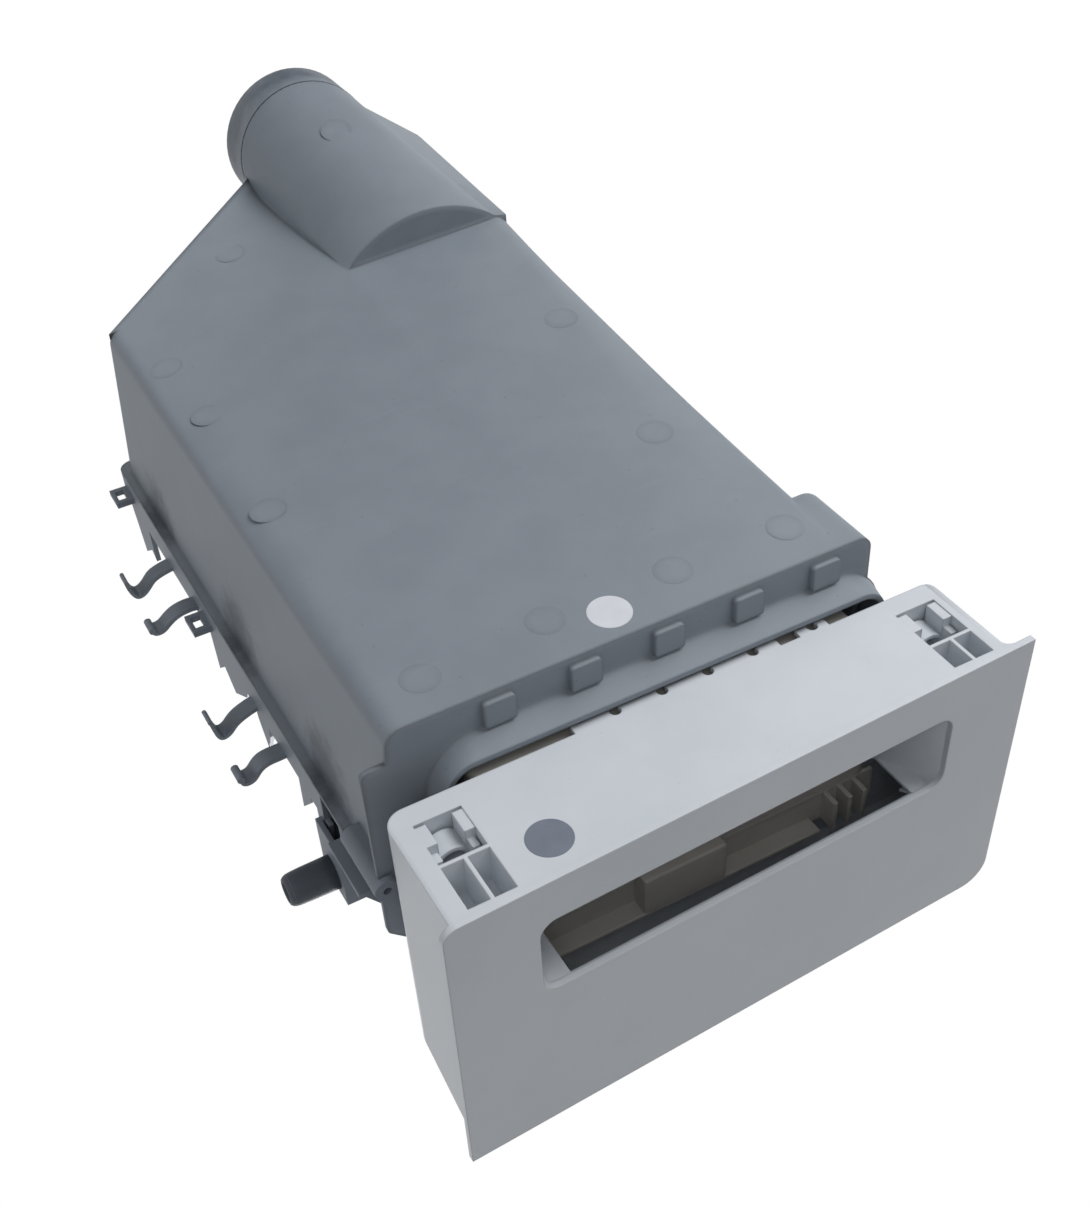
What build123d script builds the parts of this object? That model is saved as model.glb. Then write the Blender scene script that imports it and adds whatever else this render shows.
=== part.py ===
from build123d import *
import math
import os

os.makedirs("parts", exist_ok=True)

# X to the right seen from the front, Y towards the back, Z up, in millimetres.
# The origin is the centre of the drawer opening, on the front plane of its collar.

# Drawer opening and the collar round it
opening_width = 207.0
opening_height = 89.0
opening_corner = 10.0
collar_wall = 2.5
collar_depth = 11.0
collar_flare_side = 4.5
collar_flare_height = 5.9
collar_root_corner = 25.0

# Tub
wall = 2.5
tub_back = 360.0
rim_height = 18.0
floor_left = -93.0
floor_right = 124.0
floor_height = -69.0
left_draft = 3.6
right_draft = 5.0
edge_round = 8.0
crease_front = 62.0
valley_start = 320.0
valley_x = 1.0
valley_height = -87.0
gutter_height = -92.0
bump_reach = 11.0
bump_back = 54.4
bump_corner = 7.0

# Duct and spout at the back of the tub
spout_x = -27.6
spout_z = -99.8
spout_radius = 40.2
spout_bore = 36.0
spout_root = 441.0
spout_end = 465.0
spout_groove = 0.8
duct_sag = 18.0
nose_top_front = -48.0
nose_top_back = -60.0
nose_left = -97.0
nose_shoulder = -63.0
nose_corner_back = 436.0

# Rim flange and front frame
flange_thickness = 2.5
flange_left = -104.0
flange_right = 136.5
flange_front = 50.0
flange_back = 370.0
frame_left = -111.0
frame_right = 136.4
frame_top = 57.0
frame_shoulder = 42.0

# Pads under the collar
pad_count = 5
pad_first = -79.1
pad_pitch = 38.9
pad_width = 14.0
pad_height = 12.2
pad_lift = 3.8
pad_proud = 3.0

# Cabinet screw boss
boss_x = 134.2
boss_z = 12.8
boss_radius = 5.6
boss_front = 8.0
boss_back = 44.0
boss_bore = 1.9
boss_bore_depth = 30.0

# Drawer
drawer_left = -88.0
drawer_right = 95.0
drawer_front = -21.0
drawer_back = 290.0
drawer_bottom = -38.0
drawer_top = 40.0
drawer_wall = 2.0
drawer_corner = 6.0
divider_left = -27.0
divider_right = 34.0
dry_pocket_back = -4.0
softener_front = 110.0
floor_fall = 3.0
weir_height = 7.0
runner_width = 7.0
runner_thickness = 2.5
runner_gap = 0.3
ledge_top = 11.7
ledge_thickness = 2.2
ledge_back = 345.0
gusset_count = 5

# Siphons of the two closed compartments
post_radius = 4.0
post_bore = 2.25
post_height = 50.0
bleach_post_y = 92.0
softener_post_y = 262.0
cap_thickness = 1.6
cap_level = 33.0
cap_gap = 0.5
cap_tube_outer = 7.0
cap_tube_inner = 5.5
cap_tube_lift = 3.0
cap_rest = 3.0

# Liquid detergent cup
cup_front = -14.0
cup_back = 62.0
cup_wall = 1.6
cup_gap = 0.6
cup_bottom = -30.0
cup_top = 30.0
cup_tab = 16.0
cup_tab_y = 24.0
cup_notch = 2.0

# Front panel
panel_width = 280.0
panel_bottom = -42.0
panel_height = 153.8
panel_thickness = 3.2
panel_front = -65.0
panel_slant = 9.69 / 280.0
panel_lean = 0.0173
hood_wall = 2.5
hood_right = 135.5
hood_left = -130.3
hood_back = -2.5
hood_corner = 9.0
hood_edge_left = 6.0
hood_edge_right = 4.0
flare_reach = 9.0
flare_depth = 6.0
hood_top_front = 110.6
hood_top_middle = 105.0
hood_top_back = 90.0

# Handle slot and the scoop behind it
slot_left = -100.0
slot_right = 101.0
slot_bottom = -19.5
slot_top = 23.0
slot_corner = 8.0
scoop_left = -83.0
scoop_right = 86.0
scoop_bottom = -16.0
scoop_top = 40.0
scoop_back = -24.0
scoop_wall = 1.8
scoop_lip = 10.0

# Windows in the underside of the panel
window_width = 20.3
window_right = 106.2
window_left = -121.0
window_back = -12.8
window_rib_y = -36.0
window_rib = 1.7
window_depth = 17.0
tower_width = 4.6
tower_front = -25.0
tower_back = -14.0
tower_step = 5.0
arch_radius = 8.4
arch_wall = 1.8
arch_drop = 7.0

# Tongue of the panel under the drawer
tongue_left = -49.0
tongue_right = 50.0
tongue_back = 20.0
tab_left = -73.8
tab_right = -59.0
tongue_hole = 2.5
tongue_hole_y = 0.5
tongue_hole_first = 29.8
tongue_hole_pitch = 22.2
tab_hole_x = -67.0

# Panel screws
screw_left_x = -57.0
screw_right_x = 64.0
screw_z = -26.5
screw_boss_radius = 4.5
screw_radius = 2.0
screw_head_radius = 3.8
screw_head = 2.6
screw_length = 16.0
screw_clearance = 0.25

# Cover and the shower plate under it
cover_level = 34.0
cover_left = -101.0
cover_right = 106.0
cover_back = 346.0
cover_top = 56.0
seam_gap = 0.3
shower_bottom = 42.0
shower_thickness = 2.0
shower_rib = 3.0
shower_rib_clear = 0.4
shower_hole = 1.5
shower_pitch_x = 18.0
port_radius = 6.5
port_bore = 4.5
port_length = 18.0
port_z = 48.5
port_pitch = 40.0
channel_wall = 2.0
channel_end = 16.0

# Things on the right edge of the cover
nozzle_y = 66.0
nozzle_z = 56.0
nozzle_radius = 7.5
nozzle_bore = 5.0
nozzle_start = 140.0
nozzle_end = 161.0
arm_width = 9.5
arm_thickness = 2.0
arm_first_y = 288.0
arm_second_y = 245.0
arm_third_y = 163.0
arm_fourth_y = 126.0
eyelet_first_y = 353.5
eyelet_second_y = 226.0
eyelet_level = 24.5
eyelet_thickness = 3.0
eyelet_length = 15.0
eyelet_reach = 9.5
eyelet_hole_width = 4.6
eyelet_hole_length = 8.5
ledge_plate_level = 21.0
ledge_plate_front = 19.0
ledge_plate_back = 52.0
ledge_plate_reach = 8.0
fin_first = 325.5
fin_second = 175.0
fin_third = 146.0
fin_fourth = 94.0
fin_fifth = 73.5
fin_tip = 55.0


def tub_section(depth, crease_x, crease_z, gutter, top, inset):
    """Cross-section of the tub at one depth, brought in by inset."""
    rise = top - floor_height
    left_top = floor_left - rise * math.tan(math.radians(left_draft))
    right_top = floor_right + rise * math.tan(math.radians(right_draft))
    with BuildSketch(Plane.XZ.offset(-depth)) as section:
        with BuildLine():
            Polyline(
                (left_top, top),
                (floor_left, gutter),
                (crease_x, crease_z),
                (floor_right, floor_height),
                (right_top, top),
                close=True,
            )
        make_face()
        if inset > 0:
            offset(amount=-inset, kind=Kind.INTERSECTION)
        corners = section.vertices().sort_by(Axis.X)
        fillet([corners[1], corners[-2]], edge_round - inset)
    return section.sketch


def nose_section(depth, left, right, top, corner_z, inset):
    """Cross-section of the part of the tub that runs on behind its back wall."""
    with BuildSketch(Plane.XZ.offset(-depth)) as section:
        with BuildLine():
            Polyline(
                (left, top),
                (left, gutter_height),
                (valley_x, valley_height),
                (right, corner_z),
                (right, top),
                close=True,
            )
        make_face()
        if inset > 0:
            offset(amount=-inset, kind=Kind.INTERSECTION)
    return section.sketch


def duct_section(depth, left, shoulder, low, right, inset):
    """Cross-section of the duct: a shoulder, a round belly and a flat top inside the tub."""
    with BuildSketch(Plane.XZ.offset(-depth)) as section:
        with BuildLine():
            Line(left, shoulder)
            ThreePointArc(shoulder, low, right)
            Polyline(right, (right[0], -78.0), (left[0], -78.0), left)
        make_face()
        if inset > 0:
            offset(amount=-inset, kind=Kind.INTERSECTION)
    return section.sketch


def tub_form(inset, top):
    """The tub, its nose and its duct as one solid, brought in by inset."""
    front = collar_depth + inset
    back = tub_back - inset
    spout_side = spout_x + spout_radius - 0.2
    shoulder_z = spout_z - math.sqrt(spout_radius**2 - (spout_x - nose_shoulder) ** 2)
    right_z = spout_z + math.sqrt(spout_radius**2 - (spout_side - spout_x) ** 2)
    with BuildPart() as form:
        loft(
            sections=[
                tub_section(front, crease_front, floor_height, floor_height, top, inset),
                tub_section(valley_start, valley_x, valley_height, gutter_height, top, inset),
            ],
            ruled=True,
        )
        loft(
            sections=[
                tub_section(valley_start, valley_x, valley_height, gutter_height, top, inset),
                tub_section(back, valley_x, valley_height, gutter_height, top, inset),
            ],
            ruled=True,
        )
        loft(
            sections=[
                nose_section(back - 0.5, floor_left - 1.0, floor_right, nose_top_front, floor_height, inset),
                nose_section(nose_corner_back - inset, nose_left, spout_side, nose_top_back, right_z, inset),
            ],
            ruled=True,
        )
        loft(
            sections=[
                nose_section(nose_corner_back - inset, nose_left, spout_side, nose_top_back, right_z, inset),
                nose_section(spout_root - inset, nose_left, spout_side, nose_top_back, right_z, inset),
            ],
            ruled=True,
        )
        loft(
            sections=[
                duct_section(
                    valley_start + inset,
                    (floor_left, gutter_height + 0.5),
                    (floor_left + 7.0, gutter_height - 1.0),
                    (-46.0, (valley_height + gutter_height) / 2 - duct_sag),
                    (valley_x + 1.0, valley_height + 1.0),
                    inset,
                ),
                duct_section(
                    spout_root - inset,
                    (nose_left, gutter_height),
                    (nose_shoulder, shoulder_z),
                    (spout_x, spout_z - spout_radius),
                    (spout_side, right_z),
                    inset,
                ),
            ],
            ruled=True,
        )
    return form.part


def bump_form(inset, top):
    """Wider front end of the left wall, brought in by inset."""
    with BuildPart() as form:
        with BuildSketch(Plane.XY.offset(floor_height + inset)):
            with Locations((floor_left - bump_reach + inset, collar_depth + inset)):
                Rectangle(
                    bump_reach + edge_round,
                    bump_back - collar_depth - 2 * inset,
                    align=(Align.MIN, Align.MIN),
                )
        extrude(amount=top - floor_height - inset)
        outer = form.faces().sort_by(Axis.X)[0].edges()
        upright = outer.filter_by(Axis.Z).sort_by(Axis.Y)[-1]
        bottom = outer.filter_by(Axis.Y).sort_by(Axis.Z)[0]
        across = form.faces().sort_by(Axis.Y)[-1].edges().filter_by(Axis.X).sort_by(Axis.Z)[0]
        fillet([upright, bottom, across], bump_corner - inset)
    return form.part


# Tub: the moulded pan under the drawer, with its collar, duct and spout
tub_outside = tub_form(0.0, rim_height)
tub_inside = tub_form(wall, rim_height + 12.0)
bump_outside = bump_form(0.0, rim_height)
bump_inside = bump_form(wall, rim_height + 12.0)
front_inner = collar_depth + wall
collar_width = opening_width + 2 * collar_wall
collar_height = opening_height + 2 * collar_wall
frame_bottom = -collar_height / 2 - collar_flare_height
ledge_bottom = ledge_top - ledge_thickness
right_wall_x = floor_right + (ledge_top - floor_height) * math.tan(math.radians(right_draft))
left_wall_x = floor_left - (ledge_top - floor_height) * math.tan(math.radians(left_draft))

with BuildPart() as housing_tub:
    add(tub_outside)
    add(bump_outside)
    # Rim flange
    with BuildSketch(Plane.XY.offset(rim_height - flange_thickness)) as flange:
        with Locations((flange_left, flange_front)):
            Rectangle(
                flange_right - flange_left,
                flange_back - flange_front,
                align=(Align.MIN, Align.MIN),
            )
        fillet(flange.vertices().group_by(Axis.Y)[-1], 8.0)
    extrude(amount=flange_thickness)
    # Front frame above the rim
    with BuildSketch(Plane.XZ.offset(-front_inner)) as frame:
        with BuildLine():
            Polyline(
                (frame_left, frame_bottom),
                (frame_right, frame_bottom),
                (frame_right, frame_shoulder),
                (frame_right - frame_top + frame_shoulder, frame_top),
                (frame_left, frame_top),
                close=True,
            )
        make_face()
        frame_corners = frame.vertices().sort_by(Axis.X)
        fillet(frame_corners[:2].sort_by(Axis.Z)[0], collar_root_corner)
        fillet(frame.vertices().sort_by(Axis.X)[-2:], 4.0)
    extrude(amount=wall)
    # Hollow of the tub
    add(tub_inside, mode=Mode.SUBTRACT)
    add(bump_inside, mode=Mode.SUBTRACT)
    # Collar flaring out to the frame
    with BuildSketch(Plane.XZ):
        RectangleRounded(collar_width, collar_height, opening_corner + collar_wall)
    with BuildSketch(Plane.XZ.offset(-collar_depth)):
        RectangleRounded(
            collar_width + 2 * collar_flare_side,
            collar_height + 2 * collar_flare_height,
            collar_root_corner,
        )
    loft()
    # Pads on the front wall under the collar
    with BuildSketch(Plane.XZ.offset(-collar_depth)):
        for index in range(pad_count):
            with Locations((pad_first + index * pad_pitch, floor_height + pad_lift + pad_height / 2)):
                RectangleRounded(pad_width, pad_height, 1.5)
    extrude(amount=pad_proud)
    # Opening through collar and frame
    with BuildSketch(Plane.XZ.offset(1.0)):
        RectangleRounded(opening_width, opening_height, opening_corner)
    extrude(amount=-(front_inner + 2.0), mode=Mode.SUBTRACT)
    # Spout with its seat groove
    with BuildSketch(Plane.XZ.offset(-spout_root + wall)):
        with Locations((spout_x, spout_z)):
            Circle(spout_radius - spout_groove)
    extrude(amount=-(spout_groove + wall))
    with BuildSketch(Plane.XZ.offset(-spout_root - spout_groove)):
        with Locations((spout_x, spout_z)):
            Circle(spout_radius)
    extrude(amount=-(spout_end - spout_root - spout_groove))
    with BuildSketch(Plane.XZ.offset(-spout_root + wall + 1.0)):
        with Locations((spout_x, spout_z)):
            Circle(spout_bore)
    extrude(amount=-(spout_end - spout_root + wall + 2.0), mode=Mode.SUBTRACT)
    # Ledges that carry the drawer runners
    with BuildSketch(Plane.XZ.offset(-front_inner)):
        with Locations((left_wall_x + 0.5, ledge_bottom)):
            Rectangle(
                drawer_left - 1.0 - left_wall_x - 0.5,
                ledge_thickness,
                align=(Align.MIN, Align.MIN),
            )
        with Locations((drawer_right + 1.0, ledge_bottom)):
            Rectangle(
                right_wall_x - 0.5 - drawer_right - 1.0,
                ledge_thickness,
                align=(Align.MIN, Align.MIN),
            )
    extrude(amount=-(ledge_back - front_inner))
    for index in range(gusset_count):
        gusset_y = 50.0 + index * (ledge_back - 60.0) / (gusset_count - 1)
        with BuildSketch(Plane.XZ.offset(-gusset_y)):
            with BuildLine():
                Polyline(
                    (drawer_right + 6.0, ledge_bottom + 0.5),
                    (right_wall_x - 0.8, ledge_bottom + 0.5),
                    (right_wall_x - 5.2, ledge_bottom - 38.0),
                    close=True,
                )
            make_face()
        extrude(amount=2.0)
    # Seat of the screw boss, open to the right
    with BuildSketch(Plane.XZ) as seat:
        with Locations((boss_x, boss_z)):
            Rectangle(
                2 * boss_radius,
                2 * boss_radius,
                align=(Align.CENTER, Align.CENTER),
            )
    extrude(amount=-boss_back, mode=Mode.SUBTRACT)

housing_tub.part.label = "housing_tub"
export_step(housing_tub.part, "parts/housing_tub.step")

# Boss for the cabinet screw, on a square foot against the tub's wall
with BuildPart() as screw_boss:
    with BuildSketch(Plane.XZ.offset(-boss_front)):
        with Locations((boss_x, boss_z)):
            Circle(boss_radius)
    extrude(amount=-(boss_back - boss_front))
    with BuildSketch(Plane.XZ.offset(-collar_depth)):
        with Locations((boss_x - boss_radius, boss_z - boss_radius)):
            Rectangle(boss_radius, 2 * boss_radius, align=(Align.MIN, Align.MIN))
    extrude(amount=-(boss_back - collar_depth))
    with BuildSketch(Plane.XZ.offset(-boss_front)):
        with Locations((boss_x, boss_z)):
            Circle(boss_bore)
    extrude(amount=-boss_bore_depth, mode=Mode.SUBTRACT)

screw_boss.part.label = "screw_boss"
export_step(screw_boss.part, "parts/screw_boss.step")

# Shower plate: sprays water down into the drawer's compartments
shower_left = cover_left + wall + seam_gap
shower_right = cover_right - wall - seam_gap
shower_front = front_inner + seam_gap + wall + seam_gap
shower_back = cover_back - wall - seam_gap
column_left = (drawer_left + divider_left) / 2
column_middle = (divider_left + divider_right) / 2
column_right = (divider_right + drawer_right) / 2
shower_middle = (shower_front + shower_back) / 2
shower_length = shower_back - shower_front

with BuildPart() as shower_plate:
    with BuildSketch(Plane.XY.offset(shower_bottom)):
        with Locations((shower_left, shower_front)):
            Rectangle(
                shower_right - shower_left,
                shower_back - shower_front,
                align=(Align.MIN, Align.MIN),
            )
    extrude(amount=shower_thickness)
    with BuildSketch(Plane.XY.offset(shower_bottom)):
        with Locations((column_left, shower_middle), (column_middle, shower_middle)):
            with GridLocations(shower_pitch_x, shower_length / 10, 2, 8):
                Circle(shower_hole)
        with Locations((column_right, shower_middle)):
            with GridLocations(shower_pitch_x, shower_length / 10, 2, 6):
                Circle(shower_hole)
    extrude(amount=shower_thickness, mode=Mode.SUBTRACT)
    with BuildSketch(Plane.XY.offset(shower_bottom)):
        with Locations((divider_left, shower_middle), (divider_right, shower_middle)):
            Rectangle(shower_rib, shower_length - 20.0)
    extrude(amount=-(shower_bottom - drawer_top - shower_rib_clear))

shower_plate.part.label = "shower_plate"
export_step(shower_plate.part, "parts/shower_plate.step")

# Cover: the lid over the tub with raised water channels, joined on at the flange
cover_front = front_inner + seam_gap
skirt_inner = flange_right - wall


def harness_arm(points, place_y, tip):
    """Springy S-shaped cable arm on the right edge, rolled up at its tip."""
    with BuildPart() as arm:
        with BuildSketch(Plane.XZ.offset(-(place_y - arm_width / 2))):
            with BuildLine():
                Spline(*points)
            trace(line_width=arm_thickness)
            with Locations(points[-1]):
                Circle(tip)
        extrude(amount=-arm_width)
    return arm.part


arm_first = harness_arm(
    [(skirt_inner + 1.0, 31.5), (142.0, 32.9), (147.7, 35.2), (153.3, 40.6), (157.3, 42.0), (160.0, 38.9), (161.8, 31.0)],
    arm_first_y,
    1.1,
)
arm_second = harness_arm(
    [(skirt_inner + 1.0, 28.3), (143.0, 27.8), (148.0, 29.0), (153.0, 32.0), (157.0, 34.7), (160.6, 34.5), (161.8, 32.3)],
    arm_second_y,
    1.9,
)
arm_third = harness_arm(
    [(skirt_inner + 1.0, 32.0), (142.0, 34.0), (149.0, 37.9), (152.5, 41.2), (155.8, 42.0), (158.0, 38.8), (160.0, 30.0)],
    arm_third_y,
    1.1,
)
arm_fourth = harness_arm(
    [(skirt_inner + 1.0, 32.2), (142.0, 32.6), (147.0, 33.4), (150.5, 35.8), (153.8, 39.2), (157.0, 39.8), (159.4, 36.0)],
    arm_fourth_y,
    1.9,
)


def edge_fin(start, points):
    """Thin fin that stands up on the right edge, given as steps back and up from its start."""
    outline = [(start + step, cover_level + rise) for step, rise in points]
    with BuildPart() as fin:
        with BuildSketch(Plane.YZ.offset(skirt_inner)):
            with BuildLine():
                Polyline(*outline, close=True)
            make_face()
        extrude(amount=wall)
    return fin.part


tip = fin_tip - cover_level
fins = [
    edge_fin(fin_first, [(0.0, -1.0), (0.0, tip), (6.0, tip - 4.0), (23.0, tip + 8.0), (28.0, tip - 10.0), (32.0, -1.0)]),
    edge_fin(fin_second, [(-3.0, -1.0), (2.0, tip - 15.0), (24.5, tip), (36.0, tip - 9.0), (49.0, tip + 2.0), (51.0, -1.0)]),
    edge_fin(fin_third, [(-2.0, -1.0), (0.0, tip - 14.0), (7.5, tip - 1.0), (15.0, tip - 14.0), (17.0, -1.0)]),
    edge_fin(fin_fourth, [(-2.0, -1.0), (0.0, tip - 16.0), (15.0, tip), (13.0, tip - 23.0), (13.0, -1.0)]),
    edge_fin(fin_fifth, [(-2.0, -1.0), (0.0, tip - 9.0), (11.0, tip - 1.0), (12.0, tip - 13.0), (12.0, -1.0)]),
]

with BuildPart() as housing_cover:
    # Low part over the whole rim
    with BuildSketch(Plane.XY.offset(rim_height)) as low:
        with BuildLine():
            Polyline(
                (flange_left, cover_front),
                (frame_right - 2.0, cover_front),
                (frame_right - 2.0, flange_front),
                (flange_right, flange_front),
                (flange_right, flange_back),
                (flange_left, flange_back),
                close=True,
            )
        make_face()
        fillet(low.vertices().group_by(Axis.Y)[-1], 8.0)
    extrude(amount=cover_level - rim_height)
    # Raised part over the water channels
    with BuildSketch(Plane.XY.offset(cover_level - 1.0)) as high:
        with Locations((cover_left, cover_front)):
            Rectangle(cover_right - cover_left, cover_back - cover_front, align=(Align.MIN, Align.MIN))
        fillet(high.vertices().group_by(Axis.Y)[-1], 5.0)
    extrude(amount=cover_top - cover_level + 1.0)
    # Vent chamber behind the nozzle
    with BuildSketch(Plane.XY.offset(cover_level - 1.0)):
        with Locations((cover_right - 3.0, nozzle_y - 13.0)):
            Rectangle(nozzle_start - cover_right + 3.0, 26.0, align=(Align.MIN, Align.MIN))
    extrude(amount=nozzle_z + 11.0 - cover_level)
    # Small ledge at the front of the right edge, on two gussets
    ledge_edge = frame_right - 2.0
    with BuildSketch(Plane.XY.offset(ledge_plate_level)):
        with Locations((ledge_edge - 1.0, ledge_plate_front)):
            Rectangle(
                ledge_plate_reach + 2.0,
                ledge_plate_back - ledge_plate_front,
                align=(Align.MIN, Align.MIN),
            )
    extrude(amount=wall)
    for gusset_y in (ledge_plate_front + 2.0, ledge_plate_back):
        with BuildSketch(Plane.XZ.offset(-gusset_y)):
            with BuildLine():
                Polyline(
                    (ledge_edge - 0.5, ledge_plate_level + wall - 0.5),
                    (ledge_edge + ledge_plate_reach - 1.0, ledge_plate_level + wall - 0.5),
                    (ledge_edge - 0.5, cover_level - 1.0),
                    close=True,
                )
            make_face()
        extrude(amount=2.0)
    # Hollows
    with BuildSketch(Plane.XY.offset(rim_height)) as low_hollow:
        with BuildLine():
            Polyline(
                (flange_left + wall, cover_front),
                (frame_right - 2.0 - wall, cover_front),
                (frame_right - 2.0 - wall, flange_front + wall),
                (flange_right - wall, flange_front + wall),
                (flange_right - wall, flange_back - wall - 7.5),
                (flange_left + wall, flange_back - wall - 7.5),
                close=True,
            )
        make_face()
    extrude(amount=cover_level - rim_height - wall, mode=Mode.SUBTRACT)
    with BuildSketch(Plane.XY.offset(rim_height)):
        with Locations((cover_left + wall, cover_front + wall)):
            Rectangle(
                cover_right - cover_left - 2 * wall,
                cover_back - cover_front - 2 * wall,
                align=(Align.MIN, Align.MIN),
            )
    extrude(amount=cover_top - rim_height - wall, mode=Mode.SUBTRACT)
    with BuildSketch(Plane.XY.offset(rim_height)):
        with Locations((cover_left + wall, cover_front)):
            Rectangle(
                cover_right - cover_left - 2 * wall,
                wall + 1.0,
                align=(Align.MIN, Align.MIN),
            )
    extrude(amount=opening_height / 2 - rim_height, mode=Mode.SUBTRACT)
    with BuildSketch(Plane.XY.offset(rim_height)):
        with Locations((cover_right + 2.0, nozzle_y - 13.0 + wall)):
            Rectangle(
                nozzle_start - cover_right - 2.0 - wall,
                26.0 - 2 * wall,
                align=(Align.MIN, Align.MIN),
            )
    extrude(amount=nozzle_z + 11.0 - rim_height - wall - 1.0, mode=Mode.SUBTRACT)
    # Room for the cabinet screw's boss
    with BuildSketch(Plane.XZ.offset(-cover_front + 1.0)):
        with Locations((boss_x, boss_z)):
            Rectangle(2 * (boss_radius + seam_gap), 2 * (boss_radius + seam_gap))
    extrude(amount=-(boss_back + seam_gap - cover_front + 1.0), mode=Mode.SUBTRACT)
    # Walls between the water channels, down onto the shower plate
    channel_bottom = shower_bottom + shower_thickness
    with BuildSketch(Plane.XY.offset(channel_bottom)):
        with Locations((divider_left, shower_middle), (divider_right, shower_middle)):
            Rectangle(channel_wall, cover_back - cover_front - wall - 2.0)
        with Locations(((cover_left + cover_right) / 2, cover_back - channel_end)):
            Rectangle(cover_right - cover_left - wall - 2.0, channel_wall)
    extrude(amount=cover_top - wall - channel_bottom + 0.5)
    # Hose ports at the back of the channels
    with BuildSketch(Plane.XZ.offset(-(cover_back - 1.0))):
        with Locations((column_middle - 3.0, port_z)):
            with GridLocations(port_pitch, 1.0, 4, 1):
                Circle(port_radius)
    extrude(amount=-(port_length + 1.0))
    with BuildSketch(Plane.XZ.offset(-(cover_back - wall - 1.0))):
        with Locations((column_middle - 3.0, port_z)):
            with GridLocations(port_pitch, 1.0, 4, 1):
                Circle(port_bore)
    extrude(amount=-(port_length + wall + 2.0), mode=Mode.SUBTRACT)
    # Fins that stand up on the right edge
    for fin in fins:
        add(fin)
    # Nozzle of the vent chamber
    with BuildSketch(Plane.YZ.offset(nozzle_start - 0.5)):
        with Locations((nozzle_y, nozzle_z)):
            Circle(nozzle_radius)
    extrude(amount=nozzle_end - nozzle_start + 0.5)
    with BuildSketch(Plane.YZ.offset(nozzle_start - wall - 1.0)):
        with Locations((nozzle_y, nozzle_z)):
            Circle(nozzle_bore)
    extrude(amount=nozzle_end - nozzle_start + wall + 2.0, mode=Mode.SUBTRACT)
    # Cable arms and eyelets
    add(arm_first)
    add(arm_second)
    add(arm_third)
    add(arm_fourth)
    eyelet_hole_left = flange_right + eyelet_reach - eyelet_hole_width - 2.2
    with BuildSketch(Plane.XY.offset(eyelet_level)):
        for eyelet_y in (eyelet_first_y, eyelet_second_y):
            with Locations((flange_right - 0.5, eyelet_y)):
                Rectangle(eyelet_reach + 0.5, eyelet_length, align=(Align.MIN, Align.CENTER))
            with Locations((eyelet_hole_left, eyelet_y)):
                Rectangle(
                    eyelet_hole_width,
                    eyelet_hole_length,
                    align=(Align.MIN, Align.CENTER),
                    mode=Mode.SUBTRACT,
                )
    extrude(amount=eyelet_thickness)

housing_cover.part.label = "housing_cover"
export_step(housing_cover.part, "parts/housing_cover.step")

# Drawer box: four compartments on two runners
inner_front = drawer_front + drawer_wall
inner_back = drawer_back - drawer_wall
floor_front = drawer_bottom + drawer_wall + floor_fall
floor_back = drawer_bottom + drawer_wall
runner_bottom = ledge_top + runner_gap


def compartment(left, right, front, back, weir):
    """Hollow of one compartment with its floor falling towards the back."""
    fall = (floor_front - floor_back) / (inner_back - inner_front)
    front_floor = floor_front - fall * (front - inner_front)
    back_floor = floor_front - fall * (back - inner_front)
    with BuildPart() as hollow:
        with BuildSketch(Plane.YZ.offset(left)):
            with BuildLine():
                if weir:
                    Polyline(
                        (front, drawer_top + 1.0),
                        (front, front_floor),
                        (back, back_floor),
                        (back, back_floor + weir_height),
                        (back + drawer_wall + 1.0, back_floor + weir_height),
                        (back + drawer_wall + 1.0, drawer_top + 1.0),
                        close=True,
                    )
                else:
                    Polyline(
                        (front, drawer_top + 1.0),
                        (front, front_floor),
                        (back, back_floor),
                        (back, drawer_top + 1.0),
                        close=True,
                    )
            make_face()
        extrude(amount=right - left)
        upright = hollow.edges().filter_by(Axis.Z).group_by(Axis.Y)[0]
        fillet(upright, 3.0)
    return hollow.part


half_wall = drawer_wall / 2
prewash = compartment(drawer_left + drawer_wall, divider_left - half_wall, inner_front, inner_back, True)
main_wash = compartment(divider_left + half_wall, divider_right - half_wall, inner_front, inner_back, True)
dry_pocket = compartment(
    divider_right + half_wall,
    drawer_right - drawer_wall,
    inner_front,
    dry_pocket_back - drawer_wall,
    False,
)
bleach_hollow = compartment(
    divider_right + half_wall,
    drawer_right - drawer_wall,
    dry_pocket_back,
    softener_front - drawer_wall,
    False,
)
softener_hollow = compartment(
    divider_right + half_wall,
    drawer_right - drawer_wall,
    softener_front,
    inner_back,
    False,
)

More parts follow.
